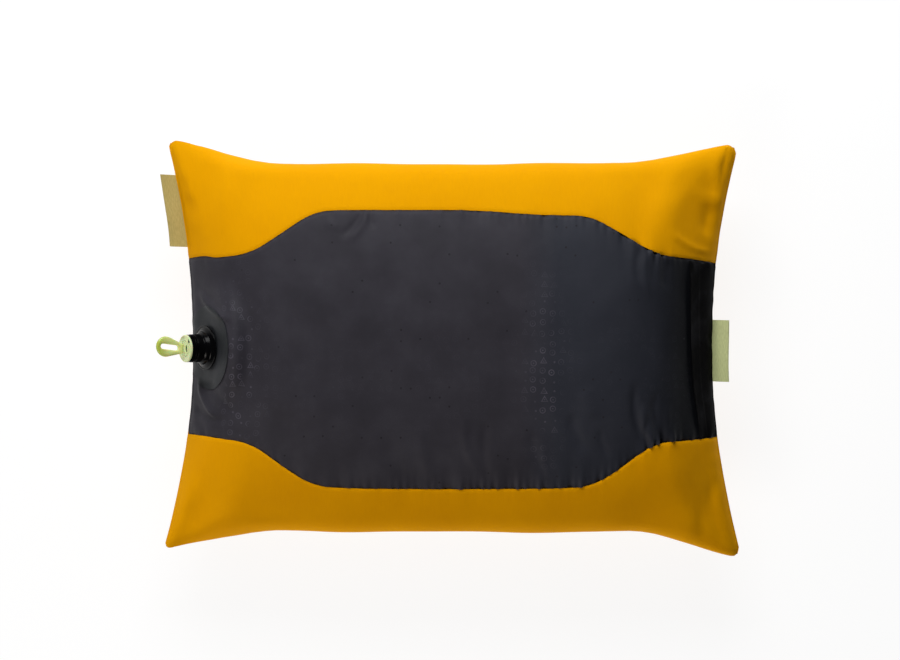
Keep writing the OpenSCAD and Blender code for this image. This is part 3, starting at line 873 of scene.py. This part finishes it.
def lime_elastomer():
    """The loop's elastomer, with painted shade: a darker, deeper green towards its tip, where the inside of
    its bend is shaded.
    """
    m = moulded_nodes(
        "lime_elastomer", (0.68, 0.74, 0.32), 0.28, 0.02, 1.0, Subsurface_Weight=0.3, Subsurface_Scale=0.003
    )
    x = m.node("SeparateXYZ", Vector=m.coords("Object")).outputs["X"]
    shade_from_tip = m.remap(x, -198.5, -188, 0, 1)
    # Painted shade: darker, deeper green at the tip, where the inside of the loop's bend lies in shade
    m.put("Base Color", m.shades(shade_from_tip, (0.3, 0.4, 0.005), (0.56, 0.7, 0.1), (0.79, 0.9, 0.34)))
    return m.mat


GOLD = golden_fabric()
CHARCOAL = coated_fabric("charcoal_coated_fabric", (0.0355, 0.0335, 0.0435), True)
BLACK = coated_fabric("black_coated_fabric", (0.0038, 0.0037, 0.0042), False, (0.65, 0.75), 0.02)
FILM = coated_fabric("smooth_charcoal_film", (0.024, 0.0268, 0.031), False, (0.5, 0.58), 0.16)
OLIVE = tape("olive_tape", (0.44, 0.34, 0.1), (0.58, 0.46, 0.16))
SAGE = tape("sage_tape", (0.7, 0.76, 0.34), (0.86, 0.92, 0.47))
BINDING = tape("binding_tape", (0.035, 0.034, 0.03), (0.07, 0.068, 0.058))
FIBRE = moulded("white_fibre_fill", (0.85, 0.85, 0.82), 0.95, 0.5, 1.6)
LAMINATE = moulded("grey_laminate", (0.3, 0.31, 0.33), 0.45, 0.05, 0.5)
CLEAR_FILM = moulded("clear_film", (0.6, 0.62, 0.64), 0.3, 0.03, 2.0)
BLACK_PLASTIC = moulded(
    "black_moulded_plastic", (0.002, 0.002, 0.0025), 0.22, 0.02, 1.2, Specular_IOR_Level=0.09
)
SILICONE = moulded("clear_silicone", (0.7, 0.72, 0.7), 0.35, 0.02, 1.0)
LIME_PLASTIC = moulded(
    "pale_lime_plastic", (0.8, 0.9, 0.5), 0.4, 0.02, 0.8, Subsurface_Weight=0.15, Subsurface_Scale=0.002
)
RUBBER = moulded("black_rubber", (0.02, 0.02, 0.02), 0.5, 0.02, 0.6)
ELASTOMER = lime_elastomer()
MARK = moulded("mark_green", (0.03, 0.06, 0.004), 0.5, 0.02, 0.6)


# ---- The case's panels ----


def seam_spread(length, coarse):
    """Shares of the way between two seams, closer together by each seam."""
    d, step = [0.0], 1.0
    while d[-1] < length / 2:
        d.append(d[-1] + step)
        step = min(coarse, 1.0 + 0.12 * d[-1])
    half = np.array(d) / d[-1] / 2
    return np.concatenate([half, 1 - half[-2::-1]])


def section_angles(u, start, end, shares):
    """Angles of rows from start to end, spaced by shares of their length, with each point's distance
    from both."""
    fine = np.linspace(0, 1, 400)
    a = start[:, None] + (end - start)[:, None] * fine
    y = half_w(u)[:, None] * spow(np.cos(a), 2 / POWER)
    z = half_z(u)[:, None] * spow(np.sin(a), 2 / POWER)
    steps = np.hypot(np.diff(y, axis=1), np.diff(z, axis=1))
    s = np.concatenate([np.zeros((len(u), 1)), np.cumsum(steps, axis=1)], axis=1)
    out = np.array([np.interp(shares * row[-1], row, ang) for row, ang in zip(s, a)])
    return out, shares[None, :] * s[:, -1:], s[:, -1:] * (1 - shares)[None, :]


def fabric_grid(u, on_panel, shares):
    """Points of the wrap or the panel, with their relief."""
    if on_panel:
        start, end = seam_angle(u, 1, -0.1), seam_angle(u, -1, -0.1)
    else:
        start, end = seam_angle(u, -1, 0.1), TURN + seam_angle(u, 1, 0.1)
    a, d0, d1 = section_angles(u, start, end, shares)
    p = case_points(u[:, None], a)
    side = np.where(d0 < d1, 1, -1) * (1 if on_panel else -1)
    h = relief(p, on_panel, np.minimum(d0, d1), side)
    # The relief fades out where the case lies on the ground
    return p + normals_of(p) * (h * smooth((p[..., 2] - 1.0) / 10))[..., None]


STATIONS = stations(400)
wrap_grid = fabric_grid(STATIONS, False, seam_spread(420, 4.0))
wrap = thin_solid("case_wrap_fabric", wrap_grid, CLOTH_T, GOLD)
panel_grid = fabric_grid(STATIONS, True, seam_spread(180, 2.2))
panel = thin_solid("back_panel_fabric", panel_grid, CLOTH_T, CHARCOAL, HOLE_R)


def on_back(x, y, above):
    """Points that stand above the back by a height, over plan places x, y."""
    u = np.clip(x / end_x(y), -0.998, 0.998)
    p = case_points(u, plan_angle(u, y))
    far = np.full(x.shape, 99.0)
    return p + normals_of(p) * (relief(p, True, far, far * 0 + 1) + above)[..., None]


# The strip with a folded hem over the right end
FLAP_FROM = 0.901
flap_u = np.concatenate([stations(30, FLAP_FROM, 0.93), stations(40, 0.931, 0.999)])
flap_a, flap_d0, flap_d1 = section_angles(
    flap_u, seam_angle(flap_u, 1, -0.5), seam_angle(flap_u, -1, -0.7), seam_spread(120, 2.0)
)
flap_seam_d = np.minimum(flap_d0, flap_d1)
flap_grid = case_points(flap_u[:, None], flap_a)
# The free edge slants: it lies further out at the lower seam
slant = 0.018 * (flap_grid[..., 1] / 60 + 0.2) * smooth((0.999 - flap_u) / 0.09)[:, None]
flap_grid = case_points(flap_u[:, None] - slant, flap_a)
# The hem is 6 mm wide and twice as thick, and the free edge stands off the panel
hem_d = (flap_u - FLAP_FROM)[:, None] * WAIST_L + 0 * flap_a
hem = smooth(1 - (hem_d - 6) / 1.2)
flap_h = relief(flap_grid, True, flap_seam_d, np.where(flap_d0 < flap_d1, 1, -1))
flap_lift = 0.35 + 1.5 * np.exp(-hem_d / 5) * smooth(flap_seam_d / 14) + 0.35 * hem
flap_grid = flap_grid + normals_of(flap_grid) * (flap_h + flap_lift)[..., None]
flap = thin_solid("end_flap_strip", flap_grid, 0.35 + 0.35 * hem, BLACK)

# The smooth patch round the valve, in rings
ring_phi = np.linspace(TURN, 0, 145)
ring_t = np.linspace(0, 1, 22)


def patch_plan(radius):
    """Plan places at a radius round the valve, in the directions ring_phi."""
    c, s = np.cos(ring_phi)[:, None], np.sin(ring_phi)[:, None]
    local = np.stack([radius * c, radius * s, 0 * radius], -1)
    p = in_space(local)
    return p[..., 0], p[..., 1]


# The patch is cut off where it would pass the end seam
reach = np.full((len(ring_phi), 1), float(PATCH_R))
for _ in range(60):
    px, py = patch_plan(reach)
    reach = np.where(-px > end_x(py) - 1.2, reach - 0.3, reach)
px, py = patch_plan(HOLE_R + (reach - HOLE_R) * ring_t[None, :])
patch_grid = on_back(px, py, 0.64)
patch = thin_solid("valve_patch_film", patch_grid, CLOTH_T, FILM)


# ---- The valve ----

housing = lathe("valve_housing_moulding", [
    (7.6, -7, 0.3), (10.6, -7, 0.4), (10.6, 0.7, 0), (15, 0.7, 0), (15, 1.45, 0.4),
    (14.2, 1.55, 0.2), (13.8, 1.35, 0.15), (11.3, 2.5, 0.8), (10.4, 5.2, 1.2), (9.5, 5.9, 0.4),
    (9.4, 10.2, 0.1), (9.1, 10.35, 0.1), (9.1, 10.95, 0.1), (9.4, 11.1, 0.1), (9.4, 12.2, 0.25),
    (7.6, 12.2, 0.2),
], BLACK_PLASTIC)
mouthpiece = lathe("mouthpiece_ring", [
    (5.2, 2.4, 0.2), (7.3, 2.4, 0.4), (7.3, 7.2, 0.1), (6.3, 7.2, 0.1), (6.3, 8.8, 0.1),
    (7.3, 8.8, 0.1), (7.3, 12.5, 0.1), (8.1, 12.5, 0.1), (8.1, 14.9, 0.1), (9.15, 14.9, 0.2),
    (9.15, 16.1, 0.6), (8.2, 16.3, 0.3), (7.9, 16.05, 0.2), (6.2, 16.05, 0.2), (5.9, 16.3, 0.2),
    (5.2, 16.3, 0.25),
], LIME_PLASTIC)
skirt = lathe(
    "mouthpiece_skirt",
    [(8.0, 12.4, 0.1), (9.2, 12.4, 0.25), (9.2, 14.85, 0.3), (8.0, 14.85, 0.1)],
    BLACK_PLASTIC,
    segments=192,
    grip=(12.6, 14.7, 32, 0.18),
)
plug = lathe("valve_plug_moulding", [
    (0.01, 4.2, 0), (4.1, 4.2, 0.2), (4.9, 5.2, 0.3), (4.9, 9.8, 0.1), (4.1, 9.8, 0.1),
    (4.1, 11.2, 0.1), (4.9, 11.2, 0.1), (4.9, 16.45, 0.35), (3.9, 16.5, 0.1), (3.7, 16.3, 0.1),
    (0.01, 16.3, 0),
], LIME_PLASTIC)


def rounded_ring(name, outline_out, outline_in, half_t, material, height, bevel=2.5, around=26):
    """An upright slotted plate at a height on the valve's axis: a rounded section between two outlines."""
    psi = np.arange(around) * TURN / around
    c, s = spow(np.cos(psi), 2 / bevel), spow(np.sin(psi), 2 / bevel)
    middle, half = (outline_out + outline_in) / 2, (outline_out - outline_in) / 2
    flat = middle[:, None, :] + half[:, None, :] * c[None, :, None]
    n = len(outline_out)
    local = np.stack([np.broadcast_to(half_t * s, (n, around)), flat[..., 1], flat[..., 0]], -1)
    local[..., 2] += height
    return mesh_of(name, in_space(local).reshape(-1, 3), ring_faces(n, around), material, sharp=60)


def seen_from(centre, points, phi):
    """Radius of a closed outline in each direction phi from a centre inside it."""
    d = points - centre
    angle, radius = np.arctan2(d[:, 1], d[:, 0]), np.hypot(d[:, 0], d[:, 1])
    order = np.argsort(angle)
    return np.interp(phi, angle[order], radius[order], period=TURN)


# The loop, from its pivot: places (along, across). Its round tip leans to one side, as its slot does
LOOP_PIVOT = 18.5
LOOP_TIP, LOOP_R, LOOP_LEAN = 11.8, 6.8, 1.8
LOOP_HALF_T = 1.3
LOOP_PLACES = 160
SLOT_MIDDLE, SLOT_HALF, SLOT_R = 9.3, 4.7, 1.7
arc = np.linspace(0, TURN, 721)
tip = np.stack([LOOP_TIP + LOOP_R * np.cos(arc), LOOP_LEAN + LOOP_R * np.sin(arc)], -1)
foot = [(p, q) for p in (-0.9, 1.0) for q in (-3.0, 3.0)]
loop_phi = np.linspace(0, TURN, LOOP_PLACES, endpoint=False)
lean = math.atan(LOOP_LEAN / LOOP_TIP)
slot_dir = np.array([math.cos(lean), math.sin(lean)])
slot_side = np.array([-slot_dir[1], slot_dir[0]])
slot_mid = SLOT_MIDDLE * slot_dir
# The outer outline is the hull of the round tip and the foot
rays = np.stack([np.cos(loop_phi), np.sin(loop_phi)], -1)
support = (np.concatenate([tip, foot]) @ rays.T).max(axis=0)
facing = rays @ rays.T
room = (support - rays @ slot_mid)[:, None] / np.maximum(facing, 1e-6)
outer_r = np.where(facing > 0.05, room, np.inf).min(axis=0)
slot_ends = SLOT_R * np.stack([np.cos(arc + lean), np.sin(arc + lean)], -1)
slot_run = np.outer(np.linspace(-SLOT_HALF, SLOT_HALF, 60), slot_dir)
slot_line = slot_mid + np.concatenate([
    np.outer(SLOT_HALF * np.sign(np.cos(arc)), slot_dir) + slot_ends,
    slot_run + SLOT_R * slot_side,
    slot_run - SLOT_R * slot_side,
])
inner_r = seen_from(slot_mid, slot_line, loop_phi)
outline_out = slot_mid + outer_r[:, None] * rays
outline_in = slot_mid + inner_r[:, None] * rays
loop = rounded_ring("pull_loop_moulding", outline_out, outline_in, LOOP_HALF_T, ELASTOMER, LOOP_PIVOT)


def small_plate(name, outline, low, high, material):
    """A small raised mark: an outline in the valve's x' and y', between two heights."""
    outline = np.array(outline, float)
    middle = outline.mean(axis=0)
    n = len(outline)
    # Each section is the outline, drawn in to a share of its size, at a height
    sections = ((0.01, low), (1.0, low), (1.0, high - 0.08), (0.9, high), (0.01, high))
    rows = [np.column_stack([middle + (outline - middle) * k, np.full(n, z)]) for k, z in sections]
    local = np.stack(rows, axis=1)
    return mesh_of(name, in_space(local).reshape(-1, 3), ring_faces(n, len(sections)), material)


def oval(n, half_x, half_y, middle_x=0.0, power=1.0):
    """n points round an ellipse in x' and y', squarer where power is under 1."""
    t = np.linspace(0, TURN, n, endpoint=False)
    return np.stack([middle_x + half_x * spow(np.cos(t), power), half_y * spow(np.sin(t), power)], -1)


neck = small_plate("plug_neck", oval(32, 0.9, 3.2, power=0.5), 16.2, 17.3, LIME_PLASTIC)
wedge = [(-r * math.cos(t), r * math.sin(t)) for r, t in ((8.6, 0.48), (8.6, 0.82), (6.2, 0.65))]
wedge_mark = small_plate("mouthpiece_arrow", wedge, 15.95, 16.36, MARK)
oval_mark = small_plate("plug_mark", oval(24, 1.05, 2.1, -2.7), 16.2, 16.42, MARK)

for piece, node, slot, body in (
    (wrap, "case_wrap", "golden_fabric", "pillow"),
    (panel, "back_panel", "charcoal_coated_fabric", "pillow"),
    (flap, "end_flap", "black_coated_fabric", "pillow"),
    (patch, "valve_patch", "smooth_charcoal_film", "pillow"),
    (housing, "valve_housing", "black_moulded_plastic", "pillow"),
    (mouthpiece, "mouthpiece", "pale_lime_plastic", "mouthpiece"),
    (skirt, None, "black_moulded_plastic", "mouthpiece"),
    (plug, "valve_plug", "pale_lime_plastic", "plug"),
    (loop, "pull_loop", "lime_elastomer", "loop"),
    (neck, None, "pale_lime_plastic", "plug"),
    (wedge_mark, None, "pale_lime_plastic", "mouthpiece"),
    (oval_mark, None, "pale_lime_plastic", "plug"),
):
    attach(piece, body)
    if node:
        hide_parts(node)


# ---- Tape tabs on the end seams ----


def folded_tab(name, node, material, height, out, skew, wobble_seed):
    """A tape folded in two, height mm along the end seam, whose fold stands out mm off and leans by skew."""
    lo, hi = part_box(node)
    left = lo.x < 0
    mid_y = (lo.y + hi.y) / 2 / MM
    rows = np.linspace(-height / 2, height / 2, 60)[:, None]
    # How deep its legs start inside the seam, half their distance there, and the fold's radius
    reach, half, fold_r = 5.0, 0.32, 1.15
    legs = np.linspace(-reach, out - fold_r, 26)
    opening = half + (fold_r - half) * smooth((legs - 0.5) / (out - 3))
    turn = np.linspace(math.pi / 2, -math.pi / 2, 15)
    path = np.concatenate([
        np.stack([legs, opening], -1),
        np.stack([out - fold_r + fold_r * np.cos(turn[1:-1]), fold_r * np.sin(turn[1:-1])], -1),
        np.stack([legs[::-1], -opening[::-1]], -1),
    ])
    along, off = path.T
    sway = 0.35 * waves(rows, wobble_seed, 30, 70, 6)
    y = mid_y + rows
    x = (end_x(y) + along * (1 + 0.02 * np.sin(rows / 7))) * (-1 if left else 1)
    grid = np.stack([x, y + skew * along, MID_Z + off + sway * clamp01(along / out)], -1)
    if left:
        grid = grid[::-1]
    return thin_solid(name, grid, 0.3, material)


label = folded_tab("label_tab_tape", "label_tab", OLIVE, 49, 10.8, 0.04, 3)
hang = folded_tab("loop_tab_tape", "loop_tab", SAGE, 42, 9.3, -0.03, 4)
for piece, node, slot, body, joint in (
    (label, "label_tab", "olive_tape", "label", "label_tab_bend"),
    (hang, "loop_tab", "sage_tape", "hang_tab", "loop_tab_bend"),
):
    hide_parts(node)
    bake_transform(piece)


# ---- Inside: fill, bladder and bindings ----


def inner_sheet(name, node, material, u, a, depth, thickness, weld=None, hole=None):
    """A hidden sheet at a depth inside the case. With weld, its ends close down to the middle plane."""
    reach = u * (weld or 1)
    grid = case_points(reach[:, None], a[None, :], depth)
    if weld:
        lift = np.maximum(half_z(reach) - depth, 0.3 * half_z(reach))
        fill = (1 - np.abs(u) ** END_POWER) * (HALF_H - depth) / lift
        grid[..., 2] = MID_Z + (grid[..., 2] - MID_Z) * np.minimum(1, fill)[:, None]
    piece = thin_solid(name, grid, thickness, material, hole)
    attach(piece, "pillow")
    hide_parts(node)


WELD = 0.972
for place, half, depth, hole in (("back", 0, 5.0, HOLE_R), ("front", 1, 8.6, None)):
    turn = np.linspace(half * math.pi, (half + 1) * math.pi, 60)
    inner_sheet(f"bladder_{place}_laminate", f"bladder_{place}_sheet", LAMINATE,
                stations(90, -0.999, 0.999), turn, depth, 0.5, WELD, hole)
inner_sheet("insulation_batting", "insulation_pad", FIBRE,
            stations(80, -0.89, 0.89), np.linspace(1.12 * math.pi, 1.88 * math.pi, 60), 2.6, 4.5)
for side, node in ((-1, "end_binding_left"), (1, "end_binding_right")):
    ends = np.linspace(0.966, 0.986, 6)
    inner_sheet(node + "_tape", node, BINDING, ends if side > 0 else -ends[::-1],
                np.linspace(1.1 * math.pi, 1.9 * math.pi, 80), 2.0, 0.6)

# Upright webs between the bladder's two sheets
for place, x in (("left", -60), ("middle", 0), ("right", 60)):
    a = np.linspace(0.03 * math.pi, 0.97 * math.pi, 60)
    u = np.full(1, x / WAIST_L)
    top, low = case_points(u, a, 6.2), case_points(u, TURN - a, 10.0)
    t = np.linspace(0, 1, 12)[:, None, None]
    grid = low + (top - low) * t
    grid[..., 0] += 0.6 * np.sin(t[..., 0] * math.pi)
    piece = thin_solid(f"baffle_{place}_film", grid, 0.5, CLEAR_FILM)
    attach(piece, "pillow")
    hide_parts(f"baffle_web_{place}")

inner_nodes = {
    "valve_inner_flange": SILICONE, "check_valve_seat": SILICONE, "check_flap": SILICONE,
    "mouthpiece_seal": RUBBER, "plug_seal": RUBBER,
}
for node, material in inner_nodes.items():
    frame["nodes"][node].data.materials.clear()
    frame["nodes"][node].data.materials.append(material)


# ---- Stage, light and camera ----


def floor():
    """A plain white floor that glows a little, so that it stays pale under soft light."""
    m = Nodes("floor_white", (0.1, 0.1, 0.1), 0.95, Emission_Color=(1, 1, 1, 1), Emission_Strength=0.88,
              Specular_IOR_Level=0.0)
    tone = m.noise(m.coords("Object"), 400, 2)
    m.put("Base Color", m.shades(tone, (0.165, 0.17, 0.175), (0.18, 0.185, 0.19)))
    mesh = bpy.data.meshes.new("floor")
    s = 12.0
    mesh.from_pydata([(-s, -s, 0), (s, -s, 0), (s, s, 0), (-s, s, 0)], [], [(0, 1, 2, 3)])
    ob = link("floor", mesh, m.mat)
    ob.location.z = -0.0005


def area_light(name, at, size, power, color=(1, 1, 1)):
    """A soft light that faces the origin; sizes in metres, power in watts."""
    data = bpy.data.lights.new(name, "AREA")
    data.shape = "RECTANGLE"
    data.size, data.size_y = size
    data.energy = power
    data.color = color
    ob = link(name, data)
    ob.location = at
    ob.rotation_euler = (-Vector(at)).to_track_quat("-Z", "Y").to_euler()


floor()
area_light("key", (-0.09, 0.82, 0.62), (0.7, 0.5), 9.1)
area_light("fill", (-0.75, -0.95, 0.9), (0.6, 0.5), 8.4, (1.0, 0.92, 0.86))
world = bpy.data.worlds.new("studio")
world.use_nodes = True
world.node_tree.nodes["Background"].inputs[0].default_value = (0.95, 0.97, 1.0, 1)
world.node_tree.nodes["Background"].inputs[1].default_value = 0.03
bpy.context.scene.world = world
bpy.context.scene.view_settings.view_transform = "Standard"

camera = bpy.data.cameras.new("camera")
camera.sensor_width = 36
camera.lens = 73.6
camera_ob = link("camera", camera)
camera_ob.location = (-0.0017, 0.0106, 1.3)
bpy.context.scene.camera = camera_ob
